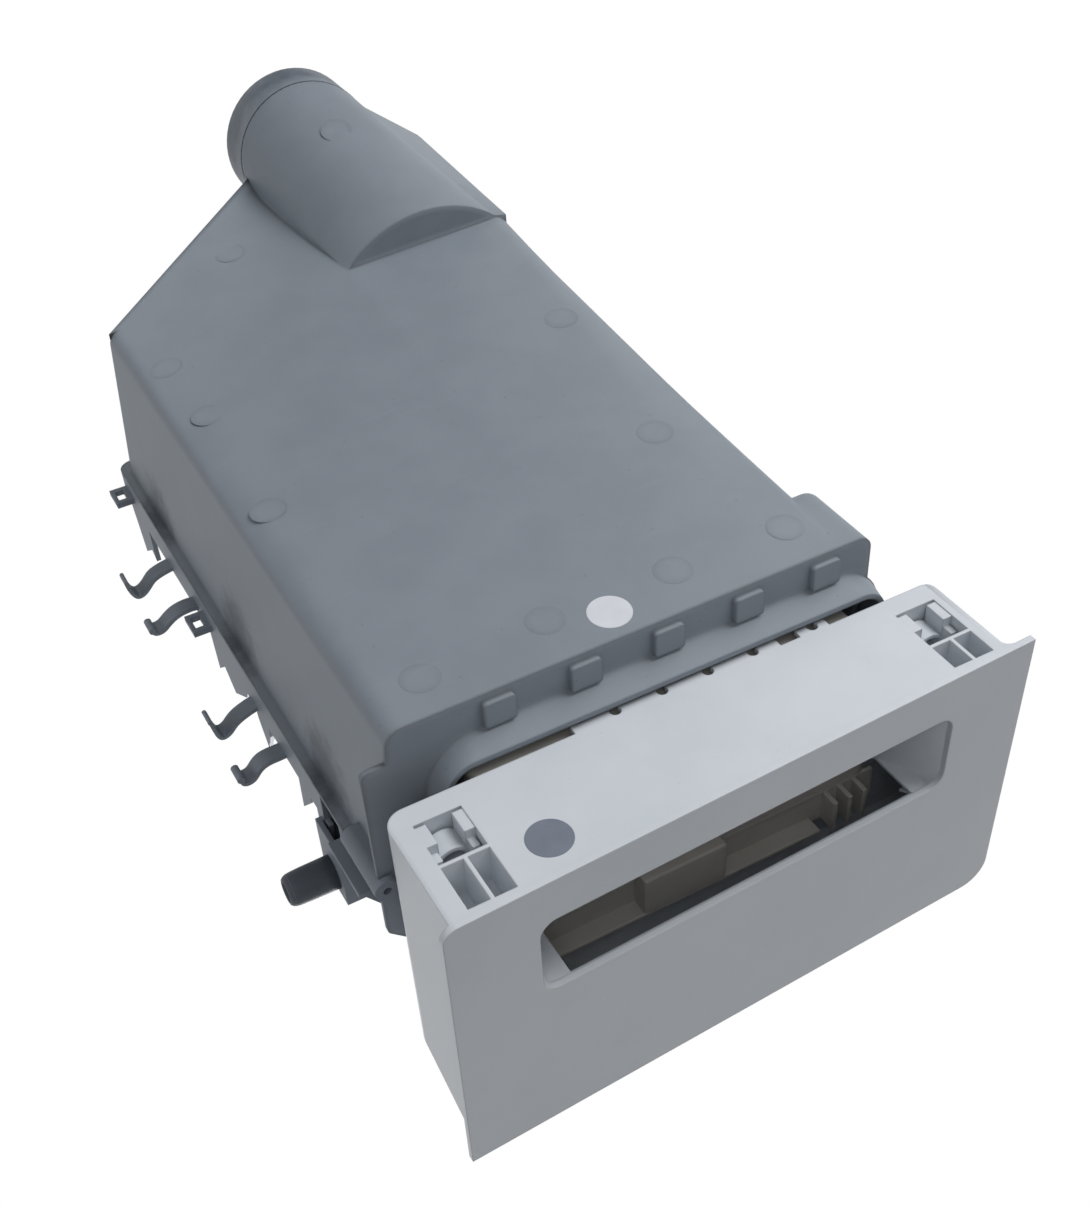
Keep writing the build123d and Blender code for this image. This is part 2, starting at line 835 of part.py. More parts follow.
with BuildPart() as drawer_box:
    with BuildSketch(Plane.XY.offset(drawer_bottom)) as outline:
        with Locations((drawer_left, drawer_front)):
            Rectangle(
                drawer_right - drawer_left,
                drawer_back - drawer_front,
                align=(Align.MIN, Align.MIN),
            )
        fillet(outline.vertices(), drawer_corner)
    extrude(amount=drawer_top - drawer_bottom)
    fillet(drawer_box.faces().sort_by(Axis.Z)[0].edges(), 2.5)
    # Runners along both sides
    with BuildSketch(Plane.XZ.offset(-(drawer_front + 8.0))):
        with Locations(
            (drawer_left - runner_width / 2 + 0.5, runner_bottom + runner_thickness / 2),
            (drawer_right + runner_width / 2 - 0.5, runner_bottom + runner_thickness / 2),
        ):
            Rectangle(runner_width + 1.0, runner_thickness)
    extrude(amount=-(drawer_back - drawer_front - 16.0))
    # Grip block and rim step on the front wall
    with BuildSketch(Plane.XZ.offset(-drawer_front - 0.5)):
        with Locations((18.5, 29.0)):
            RectangleRounded(43.0, 22.0, 2.0)
    extrude(amount=14.5)
    with BuildSketch(Plane.XZ.offset(-drawer_front - 0.5)):
        with Locations(((drawer_left + drawer_right) / 2, 34.0)):
            Rectangle(drawer_right - drawer_left - 2 * drawer_corner - 8.0, 8.0)
    extrude(amount=8.5)
    with BuildSketch(Plane.XZ.offset(-drawer_front - 0.5)):
        with Locations((-66.0, 8.0)):
            with GridLocations(9.0, 1.0, 3, 1):
                Rectangle(2.0, 44.0)
    extrude(amount=3.5)
    # Compartments
    add(prewash, mode=Mode.SUBTRACT)
    add(main_wash, mode=Mode.SUBTRACT)
    add(dry_pocket, mode=Mode.SUBTRACT)
    add(bleach_hollow, mode=Mode.SUBTRACT)
    add(softener_hollow, mode=Mode.SUBTRACT)
    # Siphon posts and the corner rests of the caps
    with BuildSketch(Plane.XY.offset(drawer_bottom)):
        with Locations((column_right, bleach_post_y), (column_right, softener_post_y)):
            Circle(post_radius)
    extrude(amount=post_height)
    with BuildSketch(Plane.XY.offset(drawer_bottom)):
        for rest_y in (
            dry_pocket_back,
            softener_front - drawer_wall - cap_rest,
            softener_front,
            inner_back - cap_rest,
        ):
            with Locations(
                (divider_right + half_wall, rest_y),
                (drawer_right - drawer_wall - cap_rest, rest_y),
            ):
                Rectangle(cap_rest, cap_rest, align=(Align.MIN, Align.MIN))
    extrude(amount=cap_level - drawer_bottom)
    with BuildSketch(Plane.XY.offset(drawer_bottom - 1.0)):
        with Locations((column_right, bleach_post_y), (column_right, softener_post_y)):
            Circle(post_bore)
    extrude(amount=post_height + 2.0, mode=Mode.SUBTRACT)
    # Notches in the dividers where the cup hangs
    with BuildSketch(Plane.XY.offset(drawer_top - cup_notch)):
        with Locations((divider_left, cup_tab_y), (divider_right, cup_tab_y)):
            Rectangle(drawer_wall + 2.0, cup_tab + 1.0)
    extrude(amount=cup_notch + 1.0, mode=Mode.SUBTRACT)
    # Screw holes in the front wall
    with BuildSketch(Plane.XZ.offset(-(drawer_front - 1.0))):
        with Locations((screw_left_x, screw_z), (screw_right_x, screw_z)):
            Circle(screw_radius + screw_clearance)
    extrude(amount=-(drawer_wall + 2.0), mode=Mode.SUBTRACT)

drawer_box.part.label = "drawer_box"
export_step(drawer_box.part, "parts/drawer_box.step")

# Front panel: slanted plate with a hood behind it and the handle scoop
panel_middle = panel_front + panel_slant * panel_width / 2
plate_face = Plane(
    origin=(0.0, panel_middle, panel_bottom),
    x_dir=(1.0, -panel_slant, 0.0),
    z_dir=(-panel_slant, -1.0, panel_lean),
)
plate_back = plate_face.offset(-panel_thickness)


def flare_section(depth, left, inset):
    """Outline of the hood's left flank where it widens towards the plate."""
    with BuildSketch(plate_back.offset(-depth)) as section:
        with BuildLine():
            Polyline(
                (left + inset, inset),
                (hood_left + 3 * hood_corner, inset),
                (hood_left + 3 * hood_corner, panel_height - inset),
                (left + inset, panel_height - inset),
                close=True,
            )
        make_face()
        fillet(section.vertices().sort_by(Axis.X)[:2], hood_edge_left - inset)
    return section.sketch


def hood_form(inset):
    """The box behind the panel's plate, brought in by inset."""
    with BuildPart() as form:
        with BuildSketch(Plane.XZ.offset(-panel_front + 6.0)) as front:
            with BuildLine():
                Polyline(
                    (hood_left, panel_bottom),
                    (hood_right, panel_bottom),
                    (hood_right, panel_bottom + panel_height),
                    (hood_left, panel_bottom + panel_height),
                    close=True,
                )
            make_face()
            if inset > 0:
                offset(amount=-inset, kind=Kind.INTERSECTION)
            low_corners = front.vertices().group_by(Axis.Y)[0].sort_by(Axis.X)
            fillet(low_corners[0], hood_edge_left - inset)
            fillet(low_corners[1], hood_edge_right - inset)
        extrude(amount=-(hood_back - panel_front + 12.0))
        loft(
            sections=[
                flare_section(-1.0, hood_left - flare_reach, inset),
                flare_section(0.3, hood_left - 0.6 * flare_reach, inset),
                flare_section(0.25 * flare_depth, hood_left - 0.28 * flare_reach, inset),
                flare_section(0.6 * flare_depth, hood_left - 0.08 * flare_reach, inset),
                flare_section(flare_depth, hood_left, inset),
            ],
        )
        with BuildSketch(Plane.XY.offset(panel_bottom)) as plan:
            with BuildLine():
                Polyline(
                    (-panel_width / 2, panel_front - 6.0),
                    (panel_width / 2, panel_front - 6.0),
                    (panel_width / 2, hood_back - 2 * hood_corner),
                    (hood_right, hood_back - 2 * hood_corner),
                    (hood_right, hood_back),
                    (hood_left, hood_back),
                    (hood_left, hood_back - 2 * hood_corner),
                    (-panel_width / 2, hood_back - 2 * hood_corner),
                    close=True,
                )
            make_face()
            if inset > 0:
                offset(amount=-inset, kind=Kind.INTERSECTION)
            fillet(plan.vertices().group_by(Axis.Y)[-1], hood_corner - inset)
        extrude(amount=panel_height, mode=Mode.INTERSECT)
        with BuildSketch(Plane.YZ):
            with BuildLine():
                Polyline(
                    (panel_front - 6.0, panel_bottom),
                    (hood_back, panel_bottom),
                    (hood_back, hood_top_back),
                    (-45.0, hood_top_middle),
                    (-60.0, hood_top_front),
                    (panel_front - 6.0, hood_top_front + 0.4),
                    close=True,
                )
            make_face()
            if inset > 0:
                offset(amount=-inset, kind=Kind.INTERSECTION)
        extrude(amount=panel_width, both=True, mode=Mode.INTERSECT)
        split(bisect_by=plate_back.offset(0.2 if inset == 0 else 0.0), keep=Keep.BOTTOM)
    return form.part


def scoop_form(grow):
    """Hollow behind the handle slot, grown by the scoop's wall for its outside."""
    with BuildPart() as form:
        with BuildSketch(plate_back.offset(0.2 if grow > 0 else 1.0)):
            with Locations(((slot_left + slot_right) / 2, (slot_bottom + slot_top) / 2 - panel_bottom)):
                RectangleRounded(
                    slot_right - slot_left + 2 * grow,
                    slot_top - slot_bottom + 2 * grow,
                    slot_corner + grow,
                )
        with BuildSketch(Plane.XZ.offset(-scoop_back - (0.0 if grow > 0 else 1.0))):
            with Locations(((scoop_left + scoop_right) / 2, (scoop_bottom + scoop_top) / 2)):
                RectangleRounded(
                    scoop_right - scoop_left + 2 * grow,
                    scoop_top - scoop_bottom + 2 * grow,
                    slot_corner + grow,
                )
        loft()
    return form.part


hood_outside = hood_form(0.0)
hood_inside = hood_form(hood_wall)
scoop_outside = scoop_form(scoop_wall)
scoop_inside = scoop_form(0.0)

with BuildPart() as scoop:
    add(scoop_outside)
    add(scoop_inside, mode=Mode.SUBTRACT)
    # Open above, behind a lip with a slightly wavy edge
    lip_y = panel_middle + panel_thickness + scoop_lip
    with BuildSketch(Plane.XY.offset(slot_top + 1.0)):
        with BuildLine():
            edge = Spline(
                (slot_left - 10.0, lip_y + 3.5),
                (-50.0, lip_y + 0.5),
                (0.0, lip_y - 1.2),
                (50.0, lip_y - 0.6),
                (slot_right + 10.0, lip_y - 4.0),
            )
            Polyline(
                edge @ 1,
                (slot_right + 10.0, scoop_back + 5.0),
                (slot_left - 10.0, scoop_back + 5.0),
                edge @ 0,
            )
        make_face()
    extrude(amount=40.0, mode=Mode.SUBTRACT)

with BuildPart() as front_panel:
    add(hood_outside)
    add(hood_inside, mode=Mode.SUBTRACT)
    # Back left open inside a narrow lip
    with BuildSketch(Plane.XZ.offset(-(hood_back - hood_wall - 1.0))):
        with Locations((4.5, (panel_bottom + hood_wall + 80.0) / 2)):
            Rectangle(240.0, 80.0 - panel_bottom - hood_wall)
    extrude(amount=-(hood_wall + 2.0), mode=Mode.SUBTRACT)
    # Plate
    with BuildSketch(plate_face) as plate:
        with Locations((0.0, panel_height / 2)):
            Rectangle(panel_width, panel_height)
        low_corners = plate.vertices().group_by(Axis.Y)[0].sort_by(Axis.X)
        high_corners = plate.vertices().group_by(Axis.Y)[-1].sort_by(Axis.X)
        fillet(high_corners[0], 13.0)
        fillet(low_corners[1], 9.0)
        fillet([high_corners[1], low_corners[0]], 5.6)
    extrude(amount=-panel_thickness)
    # Handle slot and scoop
    with BuildSketch(plate_face.offset(1.0)):
        with Locations(((slot_left + slot_right) / 2, (slot_bottom + slot_top) / 2 - panel_bottom)):
            RectangleRounded(slot_right - slot_left, slot_top - slot_bottom, slot_corner)
    extrude(amount=-(panel_thickness + 2.0), mode=Mode.SUBTRACT)
    add(scoop.part)
    # Window blocks in the bottom wall: two front pockets and a rear window with two towers
    for window_x in (window_right, window_left):
        block_front = panel_front + panel_slant * (panel_width / 2 - window_x) + 1.0
        with BuildSketch(Plane.XY.offset(panel_bottom)):
            with Locations((window_x - window_rib, block_front)):
                Rectangle(
                    window_width + 2 * window_rib,
                    window_back + window_rib - block_front,
                    align=(Align.MIN, Align.MIN),
                )
        extrude(amount=window_depth + window_rib)
        pocket_front = block_front + panel_thickness + 0.6
        pocket_width = (window_width - window_rib) / 2
        with BuildSketch(Plane.XY.offset(panel_bottom)):
            with Locations(
                (window_x, pocket_front),
                (window_x + pocket_width + window_rib, pocket_front),
            ):
                Rectangle(
                    pocket_width,
                    window_rib_y - window_rib / 2 - pocket_front,
                    align=(Align.MIN, Align.MIN),
                )
        extrude(amount=window_depth, taper=3, mode=Mode.SUBTRACT)
        with BuildSketch(Plane.XY.offset(panel_bottom)):
            with Locations((window_x, window_rib_y + window_rib / 2)):
                Rectangle(
                    window_width,
                    window_back - window_rib_y - window_rib / 2,
                    align=(Align.MIN, Align.MIN),
                )
        extrude(amount=window_depth, mode=Mode.SUBTRACT)
        for tower_x in (window_x + tower_width / 2, window_x + window_width - tower_width / 2):
            with BuildSketch(Plane.XY.offset(panel_bottom + 0.4)):
                with Locations((tower_x, (tower_front + tower_back) / 2)):
                    Rectangle(tower_width, tower_back - tower_front)
            extrude(amount=window_depth)
            with BuildSketch(Plane.XY.offset(panel_bottom + tower_step)):
                with Locations((tower_x, tower_front - tower_width / 2)):
                    Rectangle(tower_width - 1.4, tower_width + 1.0)
            extrude(amount=window_depth - tower_step + 0.4)
        # Half-round arch between the towers
        with BuildSketch(Plane.XZ.offset(-tower_front)):
            with Locations((window_x + window_width / 2, panel_bottom + arch_drop + arch_radius)):
                Circle(arch_radius)
                Circle(arch_radius - arch_wall, mode=Mode.SUBTRACT)
            with Locations((window_x, panel_bottom + window_depth + 0.4)):
                Rectangle(window_width, arch_radius, align=(Align.MIN, Align.MIN), mode=Mode.SUBTRACT)
        extrude(amount=-(tower_back - tower_front))
    # Screw bosses down to the drawer's front wall
    with BuildSketch(Plane.XZ.offset(-drawer_front)):
        with Locations((screw_left_x, screw_z), (screw_right_x, screw_z)):
            Circle(screw_boss_radius)
    extrude(until=Until.NEXT, target=front_panel.part)
    with BuildSketch(Plane.XZ.offset(-drawer_front)):
        with Locations((screw_left_x, screw_z), (screw_right_x, screw_z)):
            Circle(screw_radius)
    extrude(amount=screw_length + 1.0, mode=Mode.SUBTRACT)
    # Tongue and tab that reach back under the drawer
    with BuildSketch(Plane.XY.offset(panel_bottom)):
        with Locations((tongue_left, hood_back - 1.0)):
            Rectangle(
                tongue_right - tongue_left,
                tongue_back - hood_back + 1.0,
                align=(Align.MIN, Align.MIN),
            )
        with Locations((tab_left, hood_back - 1.0)):
            Rectangle(
                tab_right - tab_left,
                tongue_back - 4.0 - hood_back + 1.0,
                align=(Align.MIN, Align.MIN),
            )
        for index in range(4):
            with Locations((tongue_hole_first - index * tongue_hole_pitch, tongue_hole_y)):
                Circle(tongue_hole, mode=Mode.SUBTRACT)
        with Locations((tab_hole_x, tongue_hole_y)):
            Circle(tongue_hole, mode=Mode.SUBTRACT)
    extrude(amount=hood_wall)

front_panel.part.label = "front_panel"
export_step(front_panel.part, "parts/front_panel.step")

# Panel screws: from inside the drawer through its front wall into the panel's bosses
for screw_name, screw_x in (("panel_screw_left", screw_left_x), ("panel_screw_right", screw_right_x)):
    with BuildPart() as panel_screw:
        with BuildSketch(Plane.XZ.offset(-inner_front)):
            with Locations((screw_x, screw_z)):
                Circle(screw_head_radius)
        extrude(amount=-screw_head)
        with BuildSketch(Plane.XZ.offset(-inner_front)):
            with Locations((screw_x, screw_z)):
                Circle(screw_radius)
        extrude(amount=screw_length)
        with BuildSketch(Plane.XZ.offset(-(inner_front + screw_head))):
            with Locations((screw_x, screw_z)):
                Rectangle(4.2, 1.1)
                Rectangle(1.1, 4.2)
        extrude(amount=1.5, mode=Mode.SUBTRACT)
    panel_screw.part.label = screw_name
    export_step(panel_screw.part, "parts/" + screw_name + ".step")


def siphon_cap(front, back, post_y, fill_front, fill_back):
    """Cap plate of a closed compartment with the siphon tube over its post."""
    floor = floor_front - (post_y - inner_front) * floor_fall / (inner_back - inner_front)
    with BuildPart() as cap:
        with BuildSketch(Plane.XY.offset(cap_level)) as lid:
            with Locations((column_right, (front + back) / 2)):
                Rectangle(
                    drawer_right - divider_right - drawer_wall - half_wall - 2 * cap_gap,
                    back - front - 2 * cap_gap,
                )
            fillet(lid.vertices(), 3.0)
            with Locations((column_right, (fill_front + fill_back) / 2)):
                RectangleRounded(38.0, fill_back - fill_front, 5.0, mode=Mode.SUBTRACT)
        extrude(amount=cap_thickness)
        with BuildSketch(Plane.XY.offset(cap_level)):
            with Locations((column_right, post_y)):
                Circle(cap_tube_outer)
        extrude(amount=-(cap_level - floor - cap_tube_lift))
        with BuildSketch(Plane.XY.offset(cap_level)):
            with Locations((column_right, post_y)):
                Circle(cap_tube_inner)
        extrude(amount=-(cap_level - floor - cap_tube_lift + 1.0), mode=Mode.SUBTRACT)
    return cap.part


bleach_cap = siphon_cap(dry_pocket_back, softener_front - drawer_wall, bleach_post_y, 10.0, 66.0)
bleach_cap.label = "bleach_cap"
export_step(bleach_cap, "parts/bleach_cap.step")

softener_cap = siphon_cap(softener_front, inner_back, softener_post_y, 130.0, 210.0)
softener_cap.label = "softener_cap"
export_step(softener_cap, "parts/softener_cap.step")

# Liquid detergent cup: hangs by two tabs on the dividers of the main wash
cup_left = divider_left + half_wall + cup_gap
cup_right = divider_right - half_wall - cup_gap

with BuildPart() as liquid_cup:
    with BuildSketch(Plane.XY.offset(cup_bottom)) as base:
        with Locations(((cup_left + cup_right) / 2, (cup_front + cup_back) / 2)):
            Rectangle(cup_right - cup_left, cup_back - cup_front)
        fillet(base.vertices(), 5.0)
    extrude(amount=drawer_top - 0.2 - cup_bottom)
    with BuildSketch(Plane.XY.offset(cup_bottom + cup_wall)) as hollow:
        with Locations(((cup_left + cup_right) / 2, (cup_front + cup_back) / 2)):
            Rectangle(cup_right - cup_left - 2 * cup_wall, cup_back - cup_front - 2 * cup_wall)
        fillet(hollow.vertices(), 3.4)
    extrude(amount=drawer_top - cup_bottom, mode=Mode.SUBTRACT)
    # Low back wall with an overflow
    with BuildSketch(Plane.XZ.offset(-(cup_back + 1.0))):
        with Locations(((cup_left + cup_right) / 2, (cup_top + drawer_top) / 2)):
            Rectangle(34.0, drawer_top - cup_top)
    extrude(amount=cup_wall + 2.0, mode=Mode.SUBTRACT)
    # Side tabs in the notches of the dividers
    with BuildSketch(Plane.XY.offset(drawer_top - cup_notch)):
        with Locations((divider_left - half_wall, cup_tab_y)):
            Rectangle(half_wall * 2 + cup_gap + 0.5, cup_tab, align=(Align.MIN, Align.CENTER))
        with Locations((divider_right + half_wall, cup_tab_y)):
            Rectangle(half_wall * 2 + cup_gap + 0.5, cup_tab, align=(Align.MAX, Align.CENTER))
    extrude(amount=cup_notch - 0.2)

liquid_cup.part.label = "liquid_cup"
export_step(liquid_cup.part, "parts/liquid_cup.step")
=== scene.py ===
import math

import bmesh
import bpy
from mathutils import Matrix, Vector
from mathutils.bvhtree import BVHTree


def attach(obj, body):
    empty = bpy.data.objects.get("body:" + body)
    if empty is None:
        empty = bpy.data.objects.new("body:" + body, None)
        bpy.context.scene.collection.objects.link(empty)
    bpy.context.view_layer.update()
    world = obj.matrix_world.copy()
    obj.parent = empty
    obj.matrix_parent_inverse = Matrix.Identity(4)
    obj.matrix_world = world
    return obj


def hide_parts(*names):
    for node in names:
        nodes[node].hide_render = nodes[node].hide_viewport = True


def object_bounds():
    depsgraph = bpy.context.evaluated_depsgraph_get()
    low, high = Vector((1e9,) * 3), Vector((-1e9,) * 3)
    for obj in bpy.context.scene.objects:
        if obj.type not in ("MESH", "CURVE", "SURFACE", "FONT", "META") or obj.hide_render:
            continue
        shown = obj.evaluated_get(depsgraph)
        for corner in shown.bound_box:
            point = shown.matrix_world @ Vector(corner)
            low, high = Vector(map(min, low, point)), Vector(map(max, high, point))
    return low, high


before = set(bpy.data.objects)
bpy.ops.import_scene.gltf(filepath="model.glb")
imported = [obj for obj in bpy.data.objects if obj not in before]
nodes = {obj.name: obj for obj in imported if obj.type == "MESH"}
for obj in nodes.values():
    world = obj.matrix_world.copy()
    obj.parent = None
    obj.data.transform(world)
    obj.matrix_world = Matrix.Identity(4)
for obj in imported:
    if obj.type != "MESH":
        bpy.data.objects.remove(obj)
cad_low, cad_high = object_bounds()
scene = bpy.context.scene

# Camera: the dispenser is shown lying on its cover, so the camera looks up at its underside
# and is rolled until that underside is on top.
camera_data = bpy.data.cameras.new("camera")
camera = bpy.data.objects.new("camera", camera_data)
scene.collection.objects.link(camera)
camera_place = (0.2545, -0.3940, -0.4833)
camera_right = Vector((-0.8741, -0.4832, 0.0504))
camera_up = Vector((-0.3538, 0.5620, -0.7476))
camera_back = camera_right.cross(camera_up)
camera.matrix_world = Matrix.Translation(camera_place) @ Matrix(
    (camera_right, camera_up, camera_back)
).transposed().to_4x4()
camera_data.sensor_width = 36.0
camera_data.lens = 46.82
camera_data.shift_y = 0.0297
camera_data.clip_start = 0.01
scene.camera = camera


# Soft studio light: a broad lamp under the dispenser, which is the side that is shown, a small one
# before its front, one beside it, a far one over it, and an even pale room, white to the camera.
def add_node(tree, kind, sockets=None, **settings):
    """Adds a node, sets its properties and its sockets, and links the sockets given as outputs."""
    node = tree.nodes.new(kind)
    for name, value in settings.items():
        setattr(node, name, value)
    for key, value in (sockets or {}).items():
        if isinstance(value, bpy.types.NodeSocket):
            tree.links.new(value, node.inputs[key])
        else:
            node.inputs[key].default_value = value
    return node


white = (1.0, 1.0, 1.0, 1.0)
room_light = 0.24
world = bpy.data.worlds.new("pale room")
world.use_nodes = True
room = world.node_tree
room.nodes.clear()
rays = add_node(room, "ShaderNodeLightPath")
mirrored = add_node(
    room,
    "ShaderNodeMath",
    {0: rays.outputs["Is Glossy Ray"], 1: rays.outputs["Is Transmission Ray"]},
    operation="MAXIMUM",
)
seen = add_node(
    room,
    "ShaderNodeMath",
    {0: rays.outputs["Is Camera Ray"], 1: mirrored.outputs[0]},
    operation="MAXIMUM",
)
ambient = add_node(room, "ShaderNodeBackground", {"Color": white, "Strength": room_light})
backdrop = add_node(room, "ShaderNodeBackground", {"Color": white, "Strength": 1.0})
room_mix = add_node(
    room,
    "ShaderNodeMixShader",
    {0: seen.outputs[0], 1: ambient.outputs[0], 2: backdrop.outputs[0]},
)
add_node(room, "ShaderNodeOutputWorld", {"Surface": room_mix.outputs[0]})
scene.world = world
scene.view_settings.view_transform = "Standard"

middle = (cad_low + cad_high) / 2
for lamp_name, offset, width, power, tint in (
    ("lamp under", Vector((-1.25, -0.25, -2.10)), 2.0, 48.5, (1.0, 1.0, 1.0)),
    ("lamp before", Vector((0.84, -1.82, -1.96)), 1.2, 7.5, (1.0, 1.0, 1.0)),
    ("lamp beside", Vector((2.30, 0.20, -0.50)), 1.2, 6.5, (0.97, 1.0, 1.04)),
    ("lamp over", Vector((-0.60, 0.60, 2.40)), 1.6, 66.0, (1.0, 1.0, 1.0)),
):
    lamp_data = bpy.data.lights.new(lamp_name, "AREA")
    lamp_data.shape = "DISK"
    lamp_data.size = width
    lamp_data.energy = power
    lamp_data.color = tint
    lamp = bpy.data.objects.new(lamp_name, lamp_data)
    scene.collection.objects.link(lamp)
    lamp.location = middle + offset
    lamp.rotation_euler = offset.to_track_quat("Z", "Y").to_euler()


# Floor: a pale sheet of paper under the dispenser. Seen from below it is clear, so that the camera
# looks through it, and it sends no light back up.
def linear(code):
    """sRGB hex code as the linear colour that a shader takes."""
    levels = [int(code[i : i + 2], 16) / 255 for i in (0, 2, 4)]
    return tuple(
        level / 12.92 if level <= 0.04045 else ((level + 0.055) / 1.055) ** 2.4
        for level in levels
    ) + (1.0,)


def blank_material(name):
    """A material with an empty node tree."""
    made = bpy.data.materials.new(name)
    made.use_nodes = True
    made.node_tree.nodes.clear()
    return made


floor_reach = 3.0
floor_gap = 0.0005
floor_mesh = bmesh.new()
bmesh.ops.create_grid(floor_mesh, x_segments=1, y_segments=1, size=floor_reach)
bmesh.ops.translate(floor_mesh, verts=floor_mesh.verts, vec=(0.0, 0.2, cad_low.z - floor_gap))
floor_data = bpy.data.meshes.new("floor")
floor_mesh.to_mesh(floor_data)
floor_mesh.free()
floor = bpy.data.objects.new("floor", floor_data)
scene.collection.objects.link(floor)
floor.visible_diffuse = False
floor.visible_shadow = False

floor_material = blank_material("pale paper sheet")
tree = floor_material.node_tree
side = add_node(tree, "ShaderNodeNewGeometry")
paper = add_node(tree, "ShaderNodeBsdfDiffuse", {"Color": linear("F2F2F0")})
clear = add_node(tree, "ShaderNodeBsdfTransparent")
sheet = add_node(
    tree,
    "ShaderNodeMixShader",
    {0: side.outputs["Backfacing"], 1: paper.outputs[0], 2: clear.outputs[0]},
)
add_node(tree, "ShaderNodeOutputMaterial", {"Surface": sheet.outputs[0]})
floor_data.materials.append(floor_material)


# Tub, cover and screw boss: injection moulded polypropylene, blue grey, left as it came from a
# spark-eroded mould. It is dull, faintly mottled, and rubbed paler where it was handled.
def moulded(
    name, base, patch, rubbed,
    patch_mm, grain_mm, grain_depth_mm, roughness, scuff, edge_mm, dirt=0.35,
):
    """Moulded plastic: cloudy colour, fine grain, faint scuffs, and edges softened to edge_mm."""
    scuff_mm = 70.0
    speck_mm = 10.5
    gloss_spread = 0.06
    made = blank_material(name)
    tree = made.node_tree
    place = add_node(tree, "ShaderNodeTexCoord").outputs["Object"]
    cloud = add_node(
        tree,
        "ShaderNodeTexNoise",
        {"Vector": place, "Scale": 1000.0 / patch_mm, "Detail": 4.0, "Roughness": 0.6},
    )
    cloud_spread = add_node(
        tree,
        "ShaderNodeMapRange",
        {"Value": cloud.outputs[0], "From Min": 0.35, "From Max": 0.65},
        interpolation_type="SMOOTHSTEP",
    )
    # In a colour mix, sockets 6 and 7 are the two colours and output 2 is the result
    colour = add_node(
        tree,
        "ShaderNodeMix",
        {0: cloud_spread.outputs[0], 6: linear(base), 7: linear(patch)},
        data_type="RGBA",
    )
    # Scuffs: long thin noise, only its highest crests
    stretch = add_node(
        tree,
        "ShaderNodeMapping",
        {"Vector": place, "Rotation": (0.3, 0.2, 0.9), "Scale": (1.0, 16.0, 6.0)},
    )
    streak = add_node(
        tree,
        "ShaderNodeTexNoise",
        {
            "Vector": stretch.outputs[0],
            "Scale": 1000.0 / scuff_mm,
            "Detail": 7.0,
            "Roughness": 0.7,
        },
    )
    streak_crest = add_node(
        tree,
        "ShaderNodeMapRange",
        {"Value": streak.outputs[0], "From Min": 0.60, "From Max": 0.78, "To Max": scuff},
    )
    worn = add_node(
        tree,
        "ShaderNodeMix",
        {0: streak_crest.outputs[0], 6: colour.outputs[2], 7: linear(rubbed)},
        data_type="RGBA",
    )
    # Specks of dirt, about a millimetre across, one to every ten square centimetres or so
    speck = add_node(
        tree, "ShaderNodeTexVoronoi", {"Vector": place, "Scale": 1000.0 / speck_mm}
    )
    speck_dot = add_node(
        tree,
        "ShaderNodeMapRange",
        {
            "Value": speck.outputs["Distance"],
            "From Min": 0.035,
            "From Max": 0.06,
            "To Min": dirt,
            "To Max": 0.0,
        },
    )
    dirty = add_node(
        tree,
        "ShaderNodeMix",
        {0: speck_dot.outputs[0], 6: worn.outputs[2], 7: linear("5A5C5E")},
        data_type="RGBA",
    )
    grain = add_node(
        tree,
        "ShaderNodeTexNoise",
        {"Vector": place, "Scale": 1000.0 / grain_mm, "Detail": 2.0},
    )
    gloss = add_node(
        tree,
        "ShaderNodeMapRange",
        {
            "Value": cloud.outputs[0],
            "To Min": roughness - gloss_spread,
            "To Max": roughness + gloss_spread,
        },
    )
    soft_edge = add_node(tree, "ShaderNodeBevel", {"Radius": edge_mm / 1000.0}, samples=4)
    relief = add_node(
        tree,
        "ShaderNodeBump",
        {
            "Height": grain.outputs[0],
            "Strength": 0.5,
            "Distance": grain_depth_mm / 1000.0,
            "Normal": soft_edge.outputs[0],
        },
    )
    shader = add_node(
        tree,
        "ShaderNodeBsdfPrincipled",
        {
            "Base Color": dirty.outputs[2],
            "Roughness": gloss.outputs[0],
            "IOR": 1.49,
            "Normal": relief.outputs[0],
        },
    )
    add_node(tree, "ShaderNodeOutputMaterial", {"Surface": shader.outputs[0]})
    return made


def dress(material, *names):
    """Gives CAD nodes one material in every slot."""
    for name in names:
        for slot in nodes[name].material_slots:
            slot.material = material


pan_edge_mm = 5.0
collar_edge_mm = 1.4
tub_plastic = moulded(
    "grey polypropylene", "7B838C", "7F8790", "939AA2",
    patch_mm=38.0, grain_mm=1.1, grain_depth_mm=0.05, roughness=0.56, scuff=0.25,
    edge_mm=pan_edge_mm,
)
cover_plastic = moulded(
    "grey polypropylene cover", "757D87", "79818B", "8D949D",
    patch_mm=38.0, grain_mm=1.1, grain_depth_mm=0.05, roughness=0.56, scuff=0.25, edge_mm=0.9,
)
